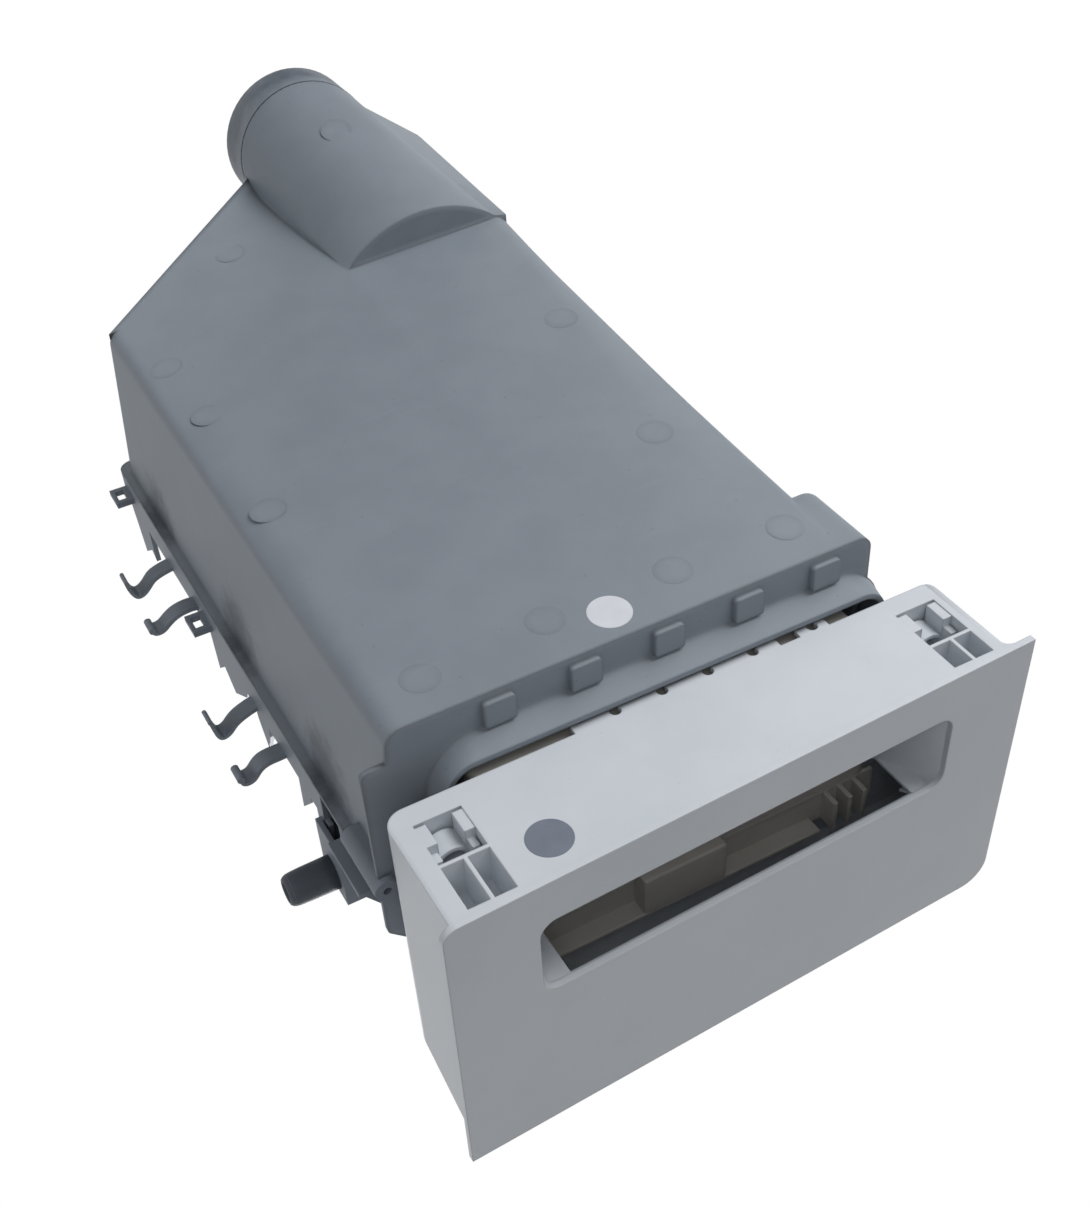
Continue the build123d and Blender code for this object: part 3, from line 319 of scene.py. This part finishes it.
# The tub's own edges are softly rounded, but those of its collar and the collar's pads are crisp,
# so the bevel in its material narrows where the collar starts, 7.5 to 10.5 mm behind its front
tree = tub_plastic.node_tree
place = add_node(tree, "ShaderNodeTexCoord").outputs["Object"]
along = add_node(tree, "ShaderNodeSeparateXYZ", {"Vector": place})
edge_radius = add_node(
    tree,
    "ShaderNodeMapRange",
    {
        "Value": along.outputs["Y"],
        "From Min": 0.0075,
        "From Max": 0.0105,
        "To Min": collar_edge_mm / 1000.0,
        "To Max": pan_edge_mm / 1000.0,
    },
)
soft_edge = next(node for node in tree.nodes if node.type == "BEVEL")
tree.links.new(edge_radius.outputs[0], soft_edge.inputs["Radius"])
dress(tub_plastic, "housing_tub")
dress(cover_plastic, "screw_boss", "housing_cover")


def stain_and_shade(material, centre_mm, size_mm, code, strength):
    """Lays one patch of colour with a ragged, soft edge over a material's colour, at a place on it,
    for a stain and for painted shade.
    """
    ragged_mm = 8.0
    ragged_share = 0.7
    tree = material.node_tree
    shader = next(node for node in tree.nodes if node.type == "BSDF_PRINCIPLED")
    under_it = shader.inputs["Base Color"].links[0].from_socket
    place = add_node(tree, "ShaderNodeTexCoord").outputs["Object"]
    centred = add_node(
        tree,
        "ShaderNodeMapping",
        {
            "Vector": place,
            "Location": tuple(-c / s for c, s in zip(centre_mm, size_mm)),
            "Scale": tuple(1000.0 / s for s in size_mm),
        },
    )
    reach = add_node(tree, "ShaderNodeVectorMath", {0: centred.outputs[0]}, operation="LENGTH")
    ragged = add_node(
        tree,
        "ShaderNodeTexNoise",
        {"Vector": place, "Scale": 1000.0 / ragged_mm, "Detail": 4.0},
    )
    ragged_reach = add_node(
        tree,
        "ShaderNodeMath",
        {0: ragged.outputs[0], 1: ragged_share, 2: reach.outputs["Value"]},
        operation="MULTIPLY_ADD",
    )
    cover = add_node(
        tree,
        "ShaderNodeMapRange",
        {
            "Value": ragged_reach.outputs[0],
            "From Min": 0.5,
            "From Max": 1.35,
            "To Min": strength,
            "To Max": 0.0,
        },
        interpolation_type="SMOOTHSTEP",
    )
    stain_and_shade_mix = add_node(
        tree,
        "ShaderNodeMix",
        {0: cover.outputs[0], 6: under_it, 7: linear(code)},
        data_type="RGBA",
    )
    tree.links.new(stain_and_shade_mix.outputs[2], shader.inputs["Base Color"])


# Marks on the tub: faint rust brown traces down the flange's side, with three dark patches of
# painted shade over them on the wall, and painted shade that darkens the spout's ring all round.
spout_x_mm = -27.6
spout_z_mm = -99.8
spout_ring_y_mm = 458.0
stain_and_shade(tub_plastic, (127.0, 150.0, -10.0), (12.0, 90.0, 26.0), "7A7678", 0.16)
# Painted shade: three dark patches on the tub's wall just above the flange
for painted_shade_y, painted_shade_z in ((306.0, 12.0), (185.0, 6.0), (77.0, 6.0)):
    stain_and_shade(tub_plastic, (131.0, painted_shade_y, painted_shade_z), (24.0, 32.0, 26.0), "2C333C", 0.85)
# Painted shade: the spout's ring darkened all round
stain_and_shade(
    tub_plastic, (spout_x_mm, spout_ring_y_mm, spout_z_mm), (110.0, 19.0, 110.0), "4F5761", 0.85
)


# Shower plate and bleach cap: thin natural polypropylene, moulded without pigment, which leaves it
# milky white with a soft shine. The plate lies over the drawer, the cap over a siphon post.
white_plastic = moulded(
    "natural polypropylene", "D3D6D8", "DCDFE0", "E6E8E8",
    patch_mm=60.0, grain_mm=1.0, grain_depth_mm=0.02, roughness=0.42, scuff=0.2, edge_mm=0.5,
)
dress(white_plastic, "shower_plate", "bleach_cap")


# Drawer box: polypropylene in a warm grey, dulled by years of detergent. Behind the handle slot its
# front wall stands 16 mm higher than the compartments, in one moulding with a rim over the finger
# space, a grip block and three ribs.
drawer_plastic = moulded(
    "warm grey polypropylene", "ACA9A4", "B2B0AB", "C0BEBA",
    patch_mm=45.0, grain_mm=1.0, grain_depth_mm=0.04, roughness=0.6, scuff=0.35, edge_mm=0.7,
)
dress(drawer_plastic, "drawer_box")


def finish_piece(name, mesh, material, body):
    """Makes the bmesh an object of that name, with its material, that rides on a CAD body."""
    data = bpy.data.meshes.new(name)
    mesh.to_mesh(data)
    mesh.free()
    data.materials.append(material)
    piece = bpy.data.objects.new(name, data)
    scene.collection.objects.link(piece)
    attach(piece, body)
    return piece


def add_cube(mesh, size, centre):
    """Adds a block with sharp edges, in metres, and returns its vertices."""
    made = bmesh.ops.create_cube(mesh, size=1.0)["verts"]
    bmesh.ops.scale(mesh, verts=made, vec=size)
    bmesh.ops.translate(mesh, verts=made, vec=centre)
    return made


def add_block(mesh, low_mm, high_mm, edge_mm):
    """Adds a block between two corners, with its edges rounded."""
    low = Vector(low_mm) / 1000
    high = Vector(high_mm) / 1000
    made = add_cube(mesh, high - low, (low + high) / 2)
    bmesh.ops.bevel(
        mesh,
        geom=list({edge for vert in made for edge in vert.link_edges}),
        affect="EDGES",
        offset=edge_mm / 1000,
        segments=2,
        profile=0.5,
        material=-1,
    )


# The CAD box has a plainer front, so its copy is cut back to just behind the wall's face and gets
# the real front. What stands on the wall is rooted in it.
wall_front = -21.0
wall_back = -19.0
wall_top = 56.0
wall_root = wall_front + 0.5
front_reach = -29.7
rib_half_width = 1.2
box_mesh = bmesh.new()
box_mesh.from_mesh(nodes["drawer_box"].data)
bmesh.ops.remove_doubles(box_mesh, verts=box_mesh.verts, dist=1e-6)
bmesh.ops.bisect_plane(
    box_mesh,
    geom=box_mesh.verts[:] + box_mesh.edges[:] + box_mesh.faces[:],
    dist=1e-7,
    plane_co=(0, (wall_front + 0.03) / 1000, 0),
    plane_no=(0, -1, 0),
    clear_outer=True,
)
open_rim = [edge for edge in box_mesh.edges if edge.is_boundary]
bmesh.ops.triangle_fill(box_mesh, edges=open_rim, use_beauty=True)
bmesh.ops.recalc_face_normals(box_mesh, faces=box_mesh.faces)
for low_mm, high_mm, edge_mm in (
    ((-91.0, wall_front, 38.0), (97.0, wall_back, wall_top), 0.4),  # raised wall
    ((-57.0, front_reach, 52.0), (86.0, wall_root, 54.2), 0.6),  # rim
    ((-6.5, front_reach, 31.0), (35.0, wall_root, 52.5), 1.0),  # grip block
):
    add_block(box_mesh, low_mm, high_mm, edge_mm)
for rib_x in (-80.5, -72.5, -64.5):
    add_block(
        box_mesh,
        (rib_x - rib_half_width, front_reach, 39.0),
        (rib_x + rib_half_width, wall_root, wall_top),
        0.4,
    )
drawer_front = finish_piece("drawer_moulding", box_mesh, drawer_plastic, "drawer")
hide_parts("drawer_box")


# Front panel: moulded ABS with a satin coat of pale grey lacquer, smooth to the touch with a very
# fine orange peel. Two screws hold it on the drawer box.
panel_plastic = moulded(
    "pale grey lacquered ABS", "C4CAD1", "CBD0D6", "DADDE0",
    patch_mm=90.0, grain_mm=0.9, grain_depth_mm=0.02, roughness=0.38, scuff=0.15, edge_mm=1.0,
    dirt=0.08,
)
dress(panel_plastic, "front_panel")

# Webs round the hood's open back, one above the slot and one beside it, moulded in one with the
# panel; they keep light out of the slot.
web_front = -5.0
web_back = -2.6
back_web = bmesh.new()
add_block(back_web, (-116.0, web_front, 57.0), (125.0, web_back, 80.5), 0.4)
add_block(back_web, (-116.0, web_front, -8.0), (-93.0, web_back, 58.0), 0.4)
finish_piece("panel_back_web", back_web, panel_plastic, "drawer")

# Panel with its handle slot finished: the slot's roof is open to the fingers only between its
# ends, with a lip of 5 mm in front. The CAD panel's lip is deeper and its roof ends are open.
panel_mesh = bmesh.new()
panel_mesh.from_mesh(nodes["front_panel"].data)
bmesh.ops.remove_doubles(panel_mesh, verts=panel_mesh.verts, dist=1e-6)
bmesh.ops.recalc_face_normals(panel_mesh, faces=panel_mesh.faces)
panel_moulding = finish_piece("panel_moulding", panel_mesh, panel_plastic, "drawer")
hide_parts("front_panel")


def combine(piece, tool_mesh, operation):
    """Cuts a closed mesh from a piece, or keeps only what lies inside it."""
    tool_data = bpy.data.meshes.new("tool")
    tool_mesh.to_mesh(tool_data)
    tool_mesh.free()
    tool = bpy.data.objects.new("tool", tool_data)
    scene.collection.objects.link(tool)
    join = piece.modifiers.new("join", "BOOLEAN")
    join.object = tool
    join.operation = operation
    join.solver = "EXACT"
    bpy.context.view_layer.update()
    made = piece.evaluated_get(bpy.context.evaluated_depsgraph_get())
    plain = piece.data
    piece.data = bpy.data.meshes.new_from_object(made)
    piece.modifiers.remove(join)
    piece.data.name = piece.name
    bpy.data.meshes.remove(plain)
    bpy.data.objects.remove(tool)
    bpy.data.meshes.remove(tool_data)


# Opening in the roof, turned a little as the panel's face is
roof_left = -86.0
roof_right = 86.6
roof_level = 23.2
roof_thickness = 1.8
opening_size = ((roof_right - roof_left) / 1000, 0.024, 0.012)
opening_centre = (0.0003, -0.0424, 0.0275)
opening_turn = -0.0346
cut = bmesh.new()
add_cube(cut, opening_size, opening_centre)
bmesh.ops.rotate(
    cut,
    verts=cut.verts,
    cent=opening_centre,
    matrix=Matrix.Rotation(opening_turn, 3, "Z"),
)
combine(panel_moulding, cut, "DIFFERENCE")

# Lower right corner, rounded, which the CAD panel's is not: a block round the whole panel with that
# one edge rounded keeps what is inside it
outline_size = (0.2901, 0.0820, 0.1640)
outline_centre = (-0.0049, -0.0390, 0.0399)
corner_radius = 0.0075
corner = bmesh.new()
add_cube(corner, outline_size, outline_centre)
corner_edge = [
    edge for edge in corner.edges if all(vert.co.x > 0 and vert.co.z < 0 for vert in edge.verts)
]
bmesh.ops.bevel(
    corner,
    geom=corner_edge,
    affect="EDGES",
    offset=corner_radius,
    segments=10,
    profile=0.5,
    material=-1,
)
combine(panel_moulding, corner, "INTERSECT")

# Roof ends, after the slivers that the cuts leave in flat faces are merged away
sliver_width = 5e-6
sliver_angle = 0.012
ends = bmesh.new()
ends.from_mesh(panel_moulding.data)
bmesh.ops.remove_doubles(ends, verts=ends.verts, dist=sliver_width)
bmesh.ops.dissolve_limit(ends, angle_limit=sliver_angle, verts=ends.verts, edges=ends.edges)
for low_x, high_x, front_y in ((roof_right, 101.5, -61.2), (-100.5, roof_left, -54.6)):
    low_mm = (low_x, front_y, roof_level)
    high_mm = (high_x, -26.0, roof_level + roof_thickness)
    add_block(ends, low_mm, high_mm, 0.3)
ends.to_mesh(panel_moulding.data)
ends.free()


# Dirt in the groove behind the spout's ring, which is the seat of the bellows' clip: a dried crust
# of what settled there, nearly black and without any shine.
def spin_round(mesh, centre, axis, steps):
    """Spins a mesh's outline a full turn into a smooth closed skin."""
    bmesh.ops.spin(
        mesh,
        geom=mesh.verts[:] + mesh.edges[:],
        cent=centre,
        axis=axis,
        dvec=(0, 0, 0),
        angle=math.tau,
        steps=steps,
        use_merge=True,
    )
    bmesh.ops.recalc_face_normals(mesh, faces=mesh.faces)
    for face in mesh.faces:
        face.smooth = True


groove_dirt = moulded(
    "dried dirt", "2E333A", "363B42", "454A52",
    patch_mm=8.0, grain_mm=0.6, grain_depth_mm=0.05, roughness=0.8, scuff=0.2, edge_mm=0.2,
)
groove_x = spout_x_mm / 1000
groove_y = 0.4414
groove_z = spout_z_mm / 1000
groove_radius = 0.0397
dirt_radius = 0.0007
groove = bmesh.new()
groove_line = bmesh.ops.create_circle(
    groove, cap_ends=False, segments=10, radius=dirt_radius
)["verts"]
bmesh.ops.rotate(groove, verts=groove_line, matrix=Matrix.Rotation(math.pi / 2, 3, "Y"))
bmesh.ops.translate(
    groove, verts=groove_line, vec=(groove_x, groove_y, groove_z - groove_radius)
)
spin_round(groove, (groove_x, groove_y, groove_z), (0, 1, 0), 96)
finish_piece("spout_groove_dirt", groove, groove_dirt, "housing")


# Vent nozzle's sleeve: a short dark sleeve pushed over the nozzle, matt, with a rounded mouth that
# turns in to the bore. Its dark colour is painted shade on the nozzle.
nozzle_sleeve_shade = moulded(
    "dark sleeve painted shade", "424850", "474D56", "5D646E",
    patch_mm=12.0, grain_mm=0.6, grain_depth_mm=0.03, roughness=0.62, scuff=0.3, edge_mm=0.4,
)
nozzle_y_mm = 66.0
nozzle_z_mm = 56.0
sleeve_profile_mm = (
    (139.6, 7.4), (139.6, 8.3), (146.0, 8.2), (153.0, 8.1), (158.0, 7.9), (160.6, 7.6),
    (162.0, 7.0), (162.9, 6.2), (163.1, 5.5), (162.7, 4.9), (161.5, 4.8), (159.0, 4.8),
    (159.0, 5.3),
)
sleeve = bmesh.new()
ring = [
    sleeve.verts.new((x_mm / 1000, (nozzle_y_mm + radius_mm) / 1000, nozzle_z_mm / 1000))
    for x_mm, radius_mm in sleeve_profile_mm
]
for pair in zip(ring, ring[1:]):
    sleeve.edges.new(pair)
spin_round(sleeve, (0, nozzle_y_mm / 1000, nozzle_z_mm / 1000), (1, 0, 0), 64)
finish_piece("nozzle_sleeve", sleeve, nozzle_sleeve_shade, "housing")


# Softener cap: polypropylene, pigmented blue and moulded in a polished mould that leaves it glossy.
# It rests in its compartment, with a tube over the siphon post.
blue_plastic = moulded(
    "blue polypropylene", "3C6FB0", "4477B6", "7FA3CE",
    patch_mm=40.0, grain_mm=1.0, grain_depth_mm=0.01, roughness=0.28, scuff=0.15, edge_mm=0.4,
)
dress(blue_plastic, "softener_cap")


# Liquid cup: thin moulded polypropylene, clear with a blue tinge and cloudy from use. It hangs by
# two tabs on the dividers of the main compartment.
cup_plastic = moulded(
    "cloudy clear polypropylene", "A9BCCB", "B4C4D1", "CCD6DE",
    patch_mm=30.0, grain_mm=1.0, grain_depth_mm=0.01, roughness=0.22, scuff=0.2, edge_mm=0.4,
)
shader = next(node for node in cup_plastic.node_tree.nodes if node.type == "BSDF_PRINCIPLED")
shader.inputs["Transmission Weight"].default_value = 0.45
dress(cup_plastic, "liquid_cup")


# Panel screws: zinc plated steel, driven from inside the drawer through its front wall. The plating
# is bright with a faint, cloudy bloom, which is drawn coarser than it is so that it shows.
bloom_mm = 1.1
zinc = blank_material("zinc plated steel")
tree = zinc.node_tree
place = add_node(tree, "ShaderNodeTexCoord").outputs["Object"]
bloom = add_node(
    tree,
    "ShaderNodeTexNoise",
    {"Vector": place, "Scale": 1000.0 / bloom_mm, "Detail": 3.0},
)
bloom_colour = add_node(
    tree,
    "ShaderNodeMix",
    {0: bloom.outputs[0], 6: linear("B9BABC"), 7: linear("8F9194")},
    data_type="RGBA",
)
bloom_gloss = add_node(
    tree,
    "ShaderNodeMapRange",
    {"Value": bloom.outputs[0], "To Min": 0.25, "To Max": 0.5},
)
shader = add_node(
    tree,
    "ShaderNodeBsdfPrincipled",
    {
        "Base Color": bloom_colour.outputs[2],
        "Metallic": 1.0,
        "Roughness": bloom_gloss.outputs[0],
    },
)
add_node(tree, "ShaderNodeOutputMaterial", {"Surface": shader.outputs[0]})
dress(zinc, "panel_screw_left", "panel_screw_right")


# Ejector marks: shallow round witness marks, 17 mm across, where the mould's pins pushed the tub
# out. They are part of the tub's own skin and raised by a tenth of a millimetre.
def under(piece_tree, x_mm, y_mm):
    """Frame on a piece's underside at x, y, with its Z along the outward normal."""
    below = Vector((x_mm / 1000, y_mm / 1000, -0.4))
    spot, normal, _, _ = piece_tree.ray_cast(below, Vector((0, 0, 1)))
    if normal.z > 0:
        normal = -normal
    return Matrix.Translation(spot) @ normal.to_track_quat("Z", "Y").to_matrix().to_4x4()


def add_disc(mesh, radius, height, taper, segments, place):
    """Adds a thin disc, a little narrower on top, standing in a frame."""
    rim = bmesh.ops.create_circle(mesh, cap_ends=True, segments=segments, radius=radius)["verts"]
    cap = list(rim[0].link_faces)[0]
    raised = bmesh.ops.extrude_face_region(mesh, geom=[cap])
    top = [made for made in raised["geom"] if isinstance(made, bmesh.types.BMVert)]
    bmesh.ops.translate(mesh, verts=top, vec=(0, 0, height))
    bmesh.ops.scale(mesh, verts=top, vec=(taper, taper, 1.0))
    bmesh.ops.transform(mesh, matrix=place, verts=rim + top)


bpy.context.view_layer.update()
surroundings = bpy.context.evaluated_depsgraph_get()
tub_tree = BVHTree.FromObject(nodes["housing_tub"], surroundings)
panel_tree = BVHTree.FromObject(panel_moulding, surroundings)

mark_radius = 0.0085
mark_height = 0.00011
mark_taper = 0.985
marks = bmesh.new()
for mark_x, mark_y in (
    (-69.8, 218.4), (-61.5, 116.6), (-74.7, 33.2), (-18.9, 34.2), (41.3, 35.3), (99.0, 31.8),
    (109.8, 166.2), (106.6, 253.3), (109.9, 306.9), (45.2, 383.1), (-30.5, 396.7), (-82.0, 344.4),
):
    spot = under(tub_tree, mark_x, mark_y)
    add_disc(marks, mark_radius, mark_height, mark_taper, 64, spot)
bmesh.ops.recalc_face_normals(marks, faces=marks.faces)
finish_piece("ejector_marks", marks, tub_plastic, "housing")


# Labels: two round paper stickers, 19 mm across, left blank: a white one on the tub's floor and a
# silver grey one on the panel's underside. The paper is smooth, faintly fibrous and blotched.
def sticker(name, base, edge, carrier, x_mm, y_mm, body):
    """A thin round sticker, cut slightly slanted at its rim."""
    label_radius = 0.0095
    label_thickness = 0.00018
    label_taper = 0.99
    fibre_mm = 0.55
    fibre_depth = 0.00004
    blotch_mm = 8.0
    made = blank_material(name + " paper")
    tree = made.node_tree
    place = add_node(tree, "ShaderNodeTexCoord").outputs["Object"]
    fibre = add_node(
        tree,
        "ShaderNodeTexNoise",
        {"Vector": place, "Scale": 1000.0 / fibre_mm, "Detail": 4.0},
    )
    blotch = add_node(
        tree,
        "ShaderNodeTexNoise",
        {"Vector": place, "Scale": 1000.0 / blotch_mm, "Detail": 3.0},
    )
    colour = add_node(
        tree,
        "ShaderNodeMix",
        {0: blotch.outputs[0], 6: linear(base), 7: linear(edge)},
        data_type="RGBA",
    )
    relief = add_node(
        tree,
        "ShaderNodeBump",
        {"Height": fibre.outputs[0], "Strength": 0.3, "Distance": fibre_depth},
    )
    shader = add_node(
        tree,
        "ShaderNodeBsdfPrincipled",
        {"Base Color": colour.outputs[2], "Roughness": 0.45, "Normal": relief.outputs[0]},
    )
    add_node(tree, "ShaderNodeOutputMaterial", {"Surface": shader.outputs[0]})
    mesh = bmesh.new()
    spot = under(carrier, x_mm, y_mm)
    add_disc(mesh, label_radius, label_thickness, label_taper, 72, spot)
    bmesh.ops.recalc_face_normals(mesh, faces=mesh.faces)
    finish_piece(name, mesh, made, body)


sticker("label_tub", "DADDE2", "C6CAD2", tub_tree, 16.5, 26.0, "housing")
sticker("label_panel", "767E8B", "676F7D", panel_tree, 85.2, -44.8, "drawer")
